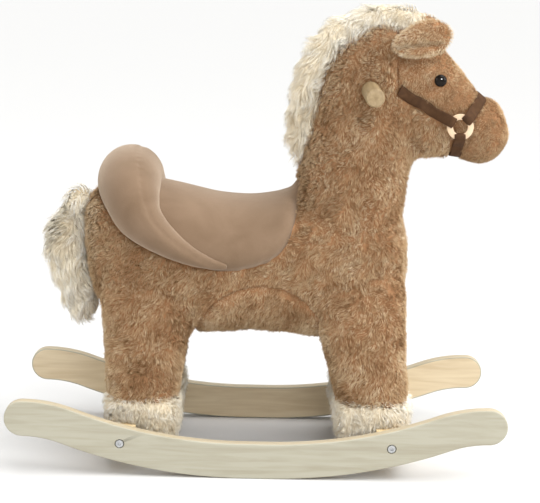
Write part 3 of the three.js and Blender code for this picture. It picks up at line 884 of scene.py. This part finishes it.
def roll_frames():
    """Points along the cantle's middle line with their radius, and the two axes across it."""
    left = np.array(ROLL)
    right = left[:0:-1] * [1, -1, 1, 1]
    path = spline(np.vstack([right, left]), 120)
    along = unit(np.gradient(path[:, :3], axis=0))
    crown = unit(np.cross([1.0, 0.0, 0.0], along))
    return path[:, :3], path[:, 3], crown, np.cross(along, crown)


def press_roll_seam(skin):
    """Draws the cantle in along the seam that runs round it, with small puckers either side."""
    middle, radius, crown, front = roll_frames()
    share = np.abs(np.linspace(-1, 1, len(middle)))
    angle = np.interp(share, *np.array(ROLL_SEAM).T)[:, None]
    line = middle + radius[:, None] * (crown * np.cos(angle) + front * np.sin(angle))
    finder = finder_of(spline(line, 900))
    found = [finder.find(p) for p in skin.verts]
    away = np.array([f[2] for f in found])
    place = np.array([f[1] for f in found])
    pucker = 1 + 0.25 * np.sin(place * 0.35)
    skin.shift(-0.0028 * pucker * np.exp(-((away / 0.0034) ** 2)))


def build_roll(material):
    """The cantle: a stuffed crescent round the back of the seat, with a seam along its outer side."""
    middle, radius, crown, front = roll_frames()
    turn = np.linspace(0, math.tau, 48, endpoint=False)[:, None]
    rings = [
        m + (r - 0.002) * (c * np.cos(turn) + f * np.sin(turn))
        for m, r, c, f in zip(middle, radius, crown, front, strict=True)
    ]
    skin = stuffed("roll", *loft(rings), 0.004, 0.0035)
    press_roll_seam(skin)
    return saddle_piece("saddle_cantle", skin, material, 0.95, "saddle_roll")


# ------------------------------------------------------------------ bridle and eyes


def eye_place(side):
    """The middle of an eye's rim."""
    node = f"eye_{NAME_OF[side]}"
    low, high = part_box(node)
    return middle_at(node, high[1] - EYE_STANDS_OUT if side > 0 else low[1] + EYE_STANDS_OUT)


def ring_place(side):
    """The middle of a bridle ring."""
    node = f"bridle_ring_{NAME_OF[side]}"
    low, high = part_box(node)
    return middle_at(node, (low[1] + high[1]) / 2)


def on_skin(tree, x, z, side):
    """Where the skin's side is at (x, z), and its normal there."""
    hit, normal, _, _ = tree.ray_cast(Vector((x, side * 0.4, z)), Vector((0, -side, 0)))
    return np.array(hit), np.array(normal)


def strap_object(name, points, normals, material, node):
    """A flat strap with softly rounded edges along points, lying flat to normals."""
    points, normals = np.asarray(points), unit(np.asarray(normals))
    along = unit(np.gradient(points, axis=0))
    across = unit(np.cross(along, normals))
    up = np.cross(across, along)
    w, t = STRAP_WIDTH / 2, STRAP_THICKNESS
    section = [
        (-w, 0.25 * t), (-w, 0.75 * t), (-w + 0.4 * t, t), (-w * 0.5, 1.04 * t), (0, 1.05 * t),
        (w * 0.5, 1.04 * t), (w - 0.4 * t, t), (w, 0.75 * t), (w, 0.25 * t), (w - 0.3 * t, 0),
        (-w + 0.3 * t, 0),
    ]  # fmt: skip
    rings = [
        [p + a * s + u * h for s, h in section] for p, a, u in zip(points, across, up, strict=True)
    ]
    return dressed(mesh_object(name, *loft(rings), [material]), "horse", "webbing", node)


def loop_over_ring(side, way):
    """Points and normals of a strap's end: out over the ring's band and folded back under it."""
    centre = ring_place(side)
    out = np.array([0.0, side, 0.0])
    way = np.array([way[0], 0.0, way[1]]) / math.hypot(*way)
    top = RING_THICKNESS / 2 + 0.0008
    spots = [
        (RING_OUTER + 0.0030, top * 0.6), (RING_OUTER - 0.0030, top), (RING_INNER + 0.0040, top),
        (RING_INNER + 0.0010, top * 0.8), (RING_INNER - 0.0012, -0.0006), (RING_INNER + 0.0010, -0.0030),
    ]  # fmt: skip
    points = [centre + way * r + out * h for r, h in spots]
    normals = [out, out, out, out * 0.7 - way * 0.7, -way, -out * 0.7 - way * 0.7]
    return points, normals


def side_strap(tree, side, ends, count):
    """Points on the skin along a straight line in side view, and their normals."""
    (ax, az), (bx, bz) = ends
    spots = [on_skin(tree, ax + (bx - ax) * f, az + (bz - az) * f, side) for f in np.linspace(0, 1, count)]
    return [p + n * STRAP_LIFT for p, n in spots], [n for _, n in spots]


def build_cheek_strap(tree, side, material):
    """The strap from the seam behind the face down to a ring."""
    centre = ring_place(side)
    start = np.array([centre[0], centre[2]])
    way = unit(np.array(CHEEK_END) - start)
    near = start + way * (RING_OUTER + 0.018)
    points, normals = side_strap(tree, side, (CHEEK_END, near), 16)
    loop_points, loop_normals = loop_over_ring(side, way)
    name = NAME_OF[side]
    course = eased(points + loop_points, normals + loop_normals)
    return strap_object(f"cheek_band_{name}", *course, material, f"cheek_strap_{name}")


def eased(points, normals, count=60):
    """The strap's course as one smooth curve."""
    both = spline(np.hstack([points, normals]), count)
    for _ in range(24):
        both[1:-1] = (both[:-2] + 2 * both[1:-1] + both[2:]) / 4
    return both[:, :3], both[:, 3:]


def build_round_strap(tree, way, name, node, material):
    """A strap from one ring to the other, over the nose or under the jaw."""
    centre = ring_place(1)
    slant = np.array([way[0], 0.0, way[1]]) / math.hypot(*way)
    hub = np.array([centre[0], 0.0, centre[2]])
    across = np.cross(slant, [0.0, 1.0, 0.0])
    reach = centre[1]
    start = math.atan2(RING_OUTER + 0.022, reach)
    points, normals = [], []
    for angle in np.linspace(math.pi - start, start, 40):
        out = np.array([0.0, math.cos(angle), 0.0]) + slant * math.sin(angle)
        hit, normal, _, _ = tree.ray_cast(Vector(hub + out * 0.3), Vector(-out))
        level = unit(np.array(normal) - 0.8 * across * np.dot(normal, across))
        points.append(np.array(hit) + level * STRAP_LIFT)
        normals.append(level)
    right = loop_over_ring(-1, way)
    left = loop_over_ring(1, way)
    points = right[0][::-1] + points + left[0]
    normals = right[1][::-1] + normals + left[1]
    return strap_object(name, *eased(points, normals, 150), material, node)


def build_ring(side, material):
    """A flat ring with rounded rims."""
    centre = ring_place(side)
    mid, half = (RING_OUTER + RING_INNER) / 2, (RING_OUTER - RING_INNER) / 2
    section = []
    for a in np.linspace(0, math.tau, 20, endpoint=False):
        c, s = math.cos(a), math.sin(a)
        height = RING_THICKNESS / 2 * np.sign(s) * abs(s) ** 0.6
        section.append((mid + half * np.sign(c) * abs(c) ** 0.4, height))
    turn = np.linspace(0, math.tau, 64, endpoint=False)
    rings = [[centre + [r * math.cos(t), h, r * math.sin(t)] for r, h in section] for t in turn]
    faces = grid_faces(len(turn), len(section), looped=True)
    name = NAME_OF[side]
    obj = mesh_object(f"bridle_loop_{name}", np.asarray(rings).reshape(-1, 3), faces, [material])
    return dressed(obj, "horse", "hide", f"bridle_ring_{name}")


def build_eye(side, material):
    """A domed eye with a thin rim, on a shank in the head."""
    shank = [(ON_AXIS, -0.0120), (0.0022, -0.0120), (0.0022, -0.0004)]
    rim = [(EYE_RADIUS - 0.0005, -0.0004), (EYE_RADIUS, 0.0002)]
    quarter = np.linspace(0, math.pi / 2 - 0.02, 14)
    dome = [(EYE_RADIUS * math.cos(a), 0.0008 + EYE_DOME * math.sin(a)) for a in quarter]
    turned = lathe(shank + rim + dome, 40, facing_side(eye_place(side), side))
    name = NAME_OF[side]
    obj = mesh_object(f"glass_eye_{name}", *turned, [material])
    return dressed(obj, "horse", "eye", f"eye_{name}")


# ------------------------------------------------------------------ mane, tail, cuffs and ears


def filled(node, wall):
    """A CAD node's surface, with a block that fills the room inside its wall."""
    low, high = np.array(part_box(node)) + [[wall], [-wall]]
    corners = [(x, y, z) for x in (low[0], high[0]) for y in (low[1], high[1]) for z in (low[2], high[2])]
    sides = [(0, 1, 3, 2), (4, 6, 7, 5), (0, 4, 5, 1), (2, 3, 7, 6), (0, 2, 6, 4), (1, 5, 7, 3)]
    return joined(node_mesh([node]), (corners, sides))


def soft_core(node, voxel, smoothing, inset, against=None, wall=None):
    """The inside of a piece of long pile: the CAD solid drawn in, and down onto what it is sewn to.

    A hollow one has a wall, and the room inside that is filled first.
    """
    solid = filled(node, wall) if wall else node_mesh([node])
    skin = remeshed(node, *solid, voxel)
    skin.smooth(smoothing)
    pull = np.zeros(len(skin.verts))
    if against is not None:
        drawn = skin.verts.copy()
        for i, point in enumerate(skin.verts):
            spot, normal, _, _ = against.find_nearest(Vector(point))
            outside = (Vector(point) - spot).dot(normal)
            pull[i] = min(1, max(0, (0.013 - outside) / 0.005))
            drawn[i] -= np.array(normal) * (outside + 0.002) * pull[i]
        skin.verts = drawn
    for _ in range(4):
        skin.shift(-inset / 4 * (1 - pull))
        skin.smooth(2 if against is None else 1)
    return skin


def stretch_up(skin, bottom, top):
    """Gives a skin a new height range."""
    z = skin.verts[:, 2]
    skin.verts[:, 2] = bottom + (z - z.min()) * (top - bottom) / (z.max() - z.min())
    skin.find_normals()
    return skin


def with_knob(core):
    """The tail's core moved up to the rump and joined to the round root that it turns on."""
    half_turn = np.linspace(0.02, math.pi - 0.02, 12)
    profile = [(TAIL_KNOB_RADIUS * math.sin(a), -TAIL_KNOB_RADIUS * math.cos(a)) for a in half_turn]
    knob = lathe(profile, 20, Matrix.Translation(TAIL_KNOB))
    skin = remeshed("tail", *joined((core.verts + [TAIL_FORWARD, 0, 0], core.faces), knob), 0.003)
    skin.smooth(3)
    return skin


def press_ear_crease(skin, side):
    """The fold above the ear's lower lip, on its outer face."""
    away = side_distance(skin.verts, spline(EAR_CREASE, 120))
    outer = (skin.normals[:, 1] * side).clip(0, 1)
    skin.shift(-0.0070 * outer * np.exp(-((away / 0.0050) ** 2)))
    return skin


def furry(node, pelt, skin, material, pile, nap, seed, body="horse", slot="cream", trim=None):
    """A core covered in pile, standing for a CAD node."""
    obj = mesh_object(pelt, skin.verts, skin.faces, [material])
    dressed(obj, body, slot, node, fill=0.8)
    grow(f"{node}_pile", skin, pile, nap, seed, body=body, slot=slot, trim=trim)


# ------------------------------------------------------------------ wood and metal


def rocker_outline(high):
    """The curved board's outline in side view, from the upper corner of one rocker's CAD box."""
    band, flat, radius = ROCKER_BAND, ROCKER_FLAT, ROCKER_RADIUS
    tip = high[2] - band
    end_x = high[0] - band / 2
    swing = 2 * math.atan(tip / (end_x - flat))
    counter = (end_x - flat) / math.sin(swing) - radius
    up = math.pi / 2

    def arc(x, z, r, start, end, count):
        return [(x + r * math.cos(a), z + r * math.sin(a)) for a in np.linspace(start, end, count)]

    half = (
        arc(flat, radius, radius, -up, -up + swing, 26)
        + arc(end_x, tip - counter, counter, up + swing, up, 12)[1:]
        + arc(end_x, tip + band / 2, band / 2, -up, up, 22)[1:]
        + arc(end_x, tip - counter, counter + band, up, up + swing, 12)[1:]
        + arc(flat, radius, radius - band, -up + swing, -up, 26)[1:]
    )
    return half + [(-x, z) for x, z in reversed(half)]


def build_rocker(name, side, material, back):
    """A plywood rocker with softened edges and a recess for each bolt's head."""
    low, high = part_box(f"rocker_{name}")
    outline = np.array(rocker_outline(high))
    ahead = unit(np.roll(outline, -1, axis=0) - np.roll(outline, 1, axis=0))
    inward = np.column_stack([-ahead[:, 1], ahead[:, 0]])
    depth = high[1] - low[1]
    quarter = np.linspace(0, math.pi / 2, 5)
    rim = [(ROCKER_EASE * (1 - math.sin(a)), ROCKER_EASE * (1 - math.cos(a))) for a in quarter]
    profile = rim + [(pull, depth - y) for pull, y in reversed(rim)]
    verts = []
    for pull, y in profile:
        spot = outline + inward * pull
        verts.append(np.column_stack([spot[:, 0], np.full(len(spot), low[1] + y), spot[:, 1]]))
    count = len(outline)
    faces = [face[:1] + face[:0:-1] for face in grid_faces(len(profile), count)]
    faces.append(tuple(range(count)))
    faces.append(tuple(reversed(range((len(profile) - 1) * count, len(profile) * count))))
    # Each rocker's inner face takes the second material, the same birch painted brighter and warmer: painted
    # light.
    slots = [0] * (len(faces) - 2) + ([0, 1] if side < 0 else [1, 0])
    obj = mesh_object(f"rocker_board_{name}", np.vstack(verts), faces, [material, back], slots, smooth=False)
    cut_recesses(obj, side)
    for polygon in obj.data.polygons:
        polygon.use_smooth = polygon.area < 0.004
    dressed(obj, "horse", "plywood", f"rocker_{name}")


def cut_recesses(obj, side):
    """Sinks a round recess for each bolt into the rocker's outer face."""
    for end in ENDS:
        centre = middle_at(f"rocker_bolt_{end}_{NAME_OF[side]}", side * OUTER_FACE)
        hole = [(0.0034, -0.0200), (0.0034, -RECESS_FLOOR)]
        recess = [(RECESS_RADIUS, -RECESS_FLOOR), (RECESS_RADIUS, 0.0040)]
        tool = mesh_object("tool", *lathe(hole + recess, 40, facing_side(centre, side)), [])
        add_modifier(obj, "BOOLEAN", operation="DIFFERENCE", object=tool, solver="EXACT")
        dg = bpy.context.evaluated_depsgraph_get()
        cut = bpy.data.meshes.new_from_object(obj.evaluated_get(dg))
        obj.modifiers.clear()
        obj.data = cut
        discard(tool)


def build_handle(material):
    """The dowel through the neck, its ends eased."""
    low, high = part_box("handle_bar")
    radius, half, ease = (high[0] - low[0]) / 2, high[1], HANDLE_EASE
    quarter = np.linspace(0, math.pi / 2, 6)
    corner = [(radius - ease * (1 - math.sin(a)), half - ease * (1 - math.cos(a))) for a in quarter]
    rim = [(ON_AXIS, half), (radius - ease, half), *corner]
    profile = [(r, -h) for r, h in rim] + [(radius, 0.0)] + [(r, h) for r, h in reversed(rim)]
    turned = lathe(profile, 56, facing_side(middle_at("handle_bar", 0), SIDES["left"]))
    dressed(mesh_object("handle_dowel", *turned, [material]), "horse", "timber", "handle_bar")


def build_bolt(corner, material):
    """A flat socket head with a hex recess, on its shank."""
    side = SIDES[corner.split("_")[1]]
    node = f"rocker_bolt_{corner}"
    low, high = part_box(node)
    centre = middle_at(node, side * (OUTER_FACE - RECESS_FLOOR))
    length = high[1] - low[1] - RECESS_FLOOR
    profile = [
        (ON_AXIS, -length), (0.0030, -length + 0.001), (0.0030, 0.0002), (BOLT_RADIUS, 0.0002),
        (BOLT_RADIUS, 0.0024), (BOLT_RADIUS - 0.0005, 0.0031), (0.0030, 0.0031),
    ]  # fmt: skip
    turn = np.linspace(0, math.tau, 48, endpoint=False)
    rings = [level_ring(r, turn, h) for r, h in profile]
    for reach, height in ((0.0024, 0.0030), (0.0023, 0.0006), (0.0001, 0.0003)):
        hexagon = reach / np.cos((turn + math.pi / 6) % (math.pi / 3) - math.pi / 6) * 0.95
        rings.append(level_ring(hexagon, turn, height))
    verts, faces = loft(rings)
    verts = placed(verts, facing_side(centre, side))
    obj = mesh_object(f"bolt_{corner}", verts, faces, [material], smooth=False)
    dressed(obj, "horse", "steel", node)


# ------------------------------------------------------------------ stage


def area_light(name):
    """One of AREAS, turned to the horse's middle."""
    place, size, power = AREAS[name]
    light = bpy.data.lights.new(name, "AREA")
    light.energy = power
    light.size = size
    lamp = bpy.data.objects.new(name, light)
    lamp.location = place
    lamp.rotation_euler = (Vector(place) - Vector((0, 0, 0.3))).to_track_quat("Z", "Y").to_euler()
    bpy.context.scene.collection.objects.link(lamp)
    return lamp


def build_stage(eyes):
    """A white floor and sky, a soft sun and the area lights."""
    mat, _, _, shader = new_material("stage_white")
    shader.inputs["Base Color"].default_value = (0.64, 0.64, 0.635, 1)
    shader.inputs["Roughness"].default_value = 0.9
    shader.inputs["Specular IOR Level"].default_value = 0.0
    corners = np.array([(-60, -60, 0), (60, -60, 0), (60, 60, 0), (-60, 60, 0)], float)
    mesh_object("floor", corners, [(0, 1, 2, 3)], [mat])

    world = bpy.data.worlds.new("studio")
    world.use_nodes = True
    nodes, links = world.node_tree.nodes, world.node_tree.links
    split = nodes.new("ShaderNodeSeparateXYZ")
    links.new(nodes.new("ShaderNodeTexCoord").outputs["Generated"], split.inputs["Vector"])
    shade = ramp(nodes, links, split.outputs["Z"], [(0.15, HORIZON), (0.50, ZENITH)])
    links.new(shade, nodes["Background"].inputs["Color"])
    bpy.context.scene.world = world

    sun = bpy.data.lights.new("sun", "SUN")
    sun.energy = SUN
    sun.angle = math.radians(SUN_ANGLE)
    lamp = bpy.data.objects.new("sun", sun)
    lamp.rotation_euler = Vector(SUN_FROM).to_track_quat("Z", "Y").to_euler()
    bpy.context.scene.collection.objects.link(lamp)
    lamps = [area_light(name) for name in AREAS]
    lit = bpy.data.collections.new("catchlights")
    for eye in eyes:
        lit.objects.link(eye)
    lamps[-1].light_linking.receiver_collection = lit


def build_camera():
    """The camera that the CAMERA values describe."""
    yaw, pitch, roll = (math.radians(v) for v in (CAMERA_YAW, CAMERA_PITCH, CAMERA_ROLL))
    right = Vector((math.cos(yaw), -math.sin(yaw), 0))
    ahead = Vector((math.sin(yaw) * math.cos(pitch), math.cos(yaw) * math.cos(pitch), -math.sin(pitch)))
    up = right.cross(ahead)
    tilted = right * math.cos(roll) + up * math.sin(roll)
    tall = up * math.cos(roll) - right * math.sin(roll)
    data = bpy.data.cameras.new("camera")
    data.sensor_width = 36.0
    data.lens = CAMERA_LENS
    camera = bpy.data.objects.new("camera", data)
    rotation = Matrix((tilted, tall, -ahead)).transposed().to_4x4()
    camera.matrix_world = Matrix.Translation(CAMERA_PLACE) @ rotation
    bpy.context.scene.collection.objects.link(camera)
    bpy.context.scene.camera = camera


# ------------------------------------------------------------------ the scene

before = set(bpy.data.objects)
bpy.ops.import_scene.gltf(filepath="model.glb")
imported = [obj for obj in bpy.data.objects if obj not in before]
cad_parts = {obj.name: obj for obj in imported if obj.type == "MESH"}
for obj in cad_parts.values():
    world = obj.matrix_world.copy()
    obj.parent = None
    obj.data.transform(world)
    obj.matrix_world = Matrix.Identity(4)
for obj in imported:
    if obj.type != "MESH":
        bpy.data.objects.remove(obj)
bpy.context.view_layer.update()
bpy.context.scene.view_settings.view_transform = "Standard"

pelt_cloth = cloth_material("pelt", srgb(136, 98, 66), srgb(172, 130, 94), 900.0, 60.0, 0.95, 0.1, 0.6)
cream_cloth = cloth_material(
    "cream_backing", srgb(236, 222, 196), srgb(246, 238, 220), 900.0, 60.0, 0.95, 0.1, 0.6
)
suede = cloth_material(
    "suede", srgb(108, 87, 67), srgb(124, 102, 82), 1100.0, 16.0, 0.95, 0.55, 0.7, tint=srgb(250, 232, 210)
)
strap_cloth = cloth_material("strap_suede", srgb(61, 41, 26), srgb(82, 57, 37), 1400.0, 90.0, 0.85, 0.1, 0.5)
ring_hide = cloth_material("ring_hide", srgb(206, 178, 146), srgb(226, 200, 170), 1100.0, 70.0, 0.6, 0.1, 0.3)
birch = wood_material("birch_ply", "x", srgb(159, 153, 134), srgb(172, 168, 151), plies=333)
# The rockers' inner faces: the same birch painted brighter and warmer, as painted light.
birch_painted_inner_light = wood_material("birch_painted_inner_light", "x", srgb(201, 182, 150), srgb(215, 199, 169))
beech = wood_material("dowel_wood", "y", srgb(130, 109, 77), srgb(147, 127, 94), streaks=1.4)
steel = steel_material()
glossy = eye_material()
brown = [pile_material(f"brown_{k}", colour, 0.5) for k, colour in enumerate(BROWNS)]
coat_tones, ear_tones = brown[:6], brown[2:]
cream = [pile_material(f"cream_{k}", colour, 0.8) for k, colour in enumerate(CREAMS)]

skin, panel_names, face_panel = build_body()
press_eye_sockets(skin)
press_under_straps(skin)
press_under_ears(skin)
seam_points = press_seams(skin, panel_names, face_panel)
body_panels(skin, panel_names, face_panel, pelt_cloth)
body_tree = skin.tree()

build_seat(skin, suede)
cantle = build_roll(suede)
straps = [build_cheek_strap(body_tree, side, strap_cloth) for side in SIDES.values()]
straps.append(build_round_strap(body_tree, NOSE_WAY, "nose_band", "nose_strap", strap_cloth))
straps.append(build_round_strap(body_tree, CHIN_WAY, "chin_band", "chin_strap", strap_cloth))
rings = [build_ring(side, ring_hide) for side in SIDES.values()]
eyes = [build_eye(side, glossy) for side in SIDES.values()]
build_handle(beech)
for side_name, side in SIDES.items():
    build_rocker(side_name, side, birch, birch_painted_inner_light)
for corner in CORNERS:
    build_bolt(corner, steel)


saddle_tree = tree_of(cantle)
bridle_tree = tree_of(*straps, *rings, *eyes)
blockers = [(saddle_tree, 0.035), (bridle_tree, 0.014)]
handle_middle = middle_at("handle_bar", 0)
seam_finder = finder_of(seam_points)

long_pile = Pile(coat_tones, 0.0088, 430000, 0.00064, lean=46, clump=8, gather=0.42, curl=0.38, contrast=0.70)
face_pile = Pile(coat_tones, 0.0056, 650000, 0.00056, lean=42, clump=7, gather=0.32, curl=0.32, contrast=0.60)
for k, name in enumerate(panel_names):
    on_face = name in PANEL_INSET
    grow(
        f"{name}_pile", skin, face_pile if on_face else long_pile, nap_down_and_back, 100 + 10 * k,
        keep=(face_panel == k).astype(float),
        blockers=blockers if name in ("torso", "neck", "head", "muzzle") else (),
        trim=shorn_by_eyes if on_face else shorn_by_saddle,
    )  # fmt: skip

mane_pile = Pile(cream, 0.021, 350000, 0.00075, lean=62, clump=14, gather=0.32, curl=0.11, rings=3)
tail_pile = Pile(cream, 0.029, 370000, 0.00080, lean=74, clump=14, gather=0.30, curl=0.07, rings=3)
cuff_pile = Pile(cream, 0.014, 380000, 0.00070, lean=60, clump=12, gather=0.40, curl=0.20, rings=2)
ear_pile = Pile(ear_tones, 0.0060, 650000, 0.00056, lean=40, clump=8, gather=0.35, curl=0.25, contrast=0.60)

furry("mane", "mane_core", soft_core("mane", CORE_VOXEL, 5, 0.009, body_tree), cream_cloth, mane_pile,
      nap_down_and_back, 400)  # fmt: skip
tail_core = with_knob(soft_core("tail", CORE_VOXEL, 6, 0.009))
tail_root = np.array([tail_core.verts[:, 0].max(), 0.0, tail_core.verts[:, 2].max()])
furry("tail", "tail_core", tail_core, cream_cloth, tail_pile, nap_of_tail, 500, "tail", trim=shorn_at_rump)
for k, corner in enumerate(CORNERS):
    cuff = stretch_up(soft_core(f"hoof_cuff_{corner}", CORE_VOXEL, 6, 0.006, wall=0.008), *CUFF_HEIGHTS)
    furry(f"hoof_cuff_{corner}", f"hoof_core_{corner}", cuff, cream_cloth, cuff_pile, nap_down, 600 + 10 * k)
for k, (side_name, side) in enumerate(SIDES.items()):
    ear = press_ear_crease(soft_core(f"ear_{side_name}", 0.003, 4, 0.0030), side)
    furry(f"ear_{side_name}", f"ear_core_{side_name}", ear, pelt_cloth, ear_pile, nap_down_and_back,
          700 + 10 * k, f"ear_{side_name}", "plush")  # fmt: skip

pine = wood_material("inner_timber", "y", srgb(205, 178, 132), srgb(226, 203, 160))
CARRIED = {
    pine: ["cross_rail_front", "cross_rail_rear", "neck_brace_right", "neck_brace_left"]
    + [f"leg_post_{corner}" for corner in CORNERS],
    birch: ["body_board", "neck_board"],
    steel: [f"{kind}_{corner}" for kind in ("barrel_nut", "post_screw") for corner in CORNERS],
}
for mat, nodes in CARRIED.items():
    for node in nodes:
        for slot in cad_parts[node].material_slots:
            slot.material = mat

build_stage(eyes)
build_camera()
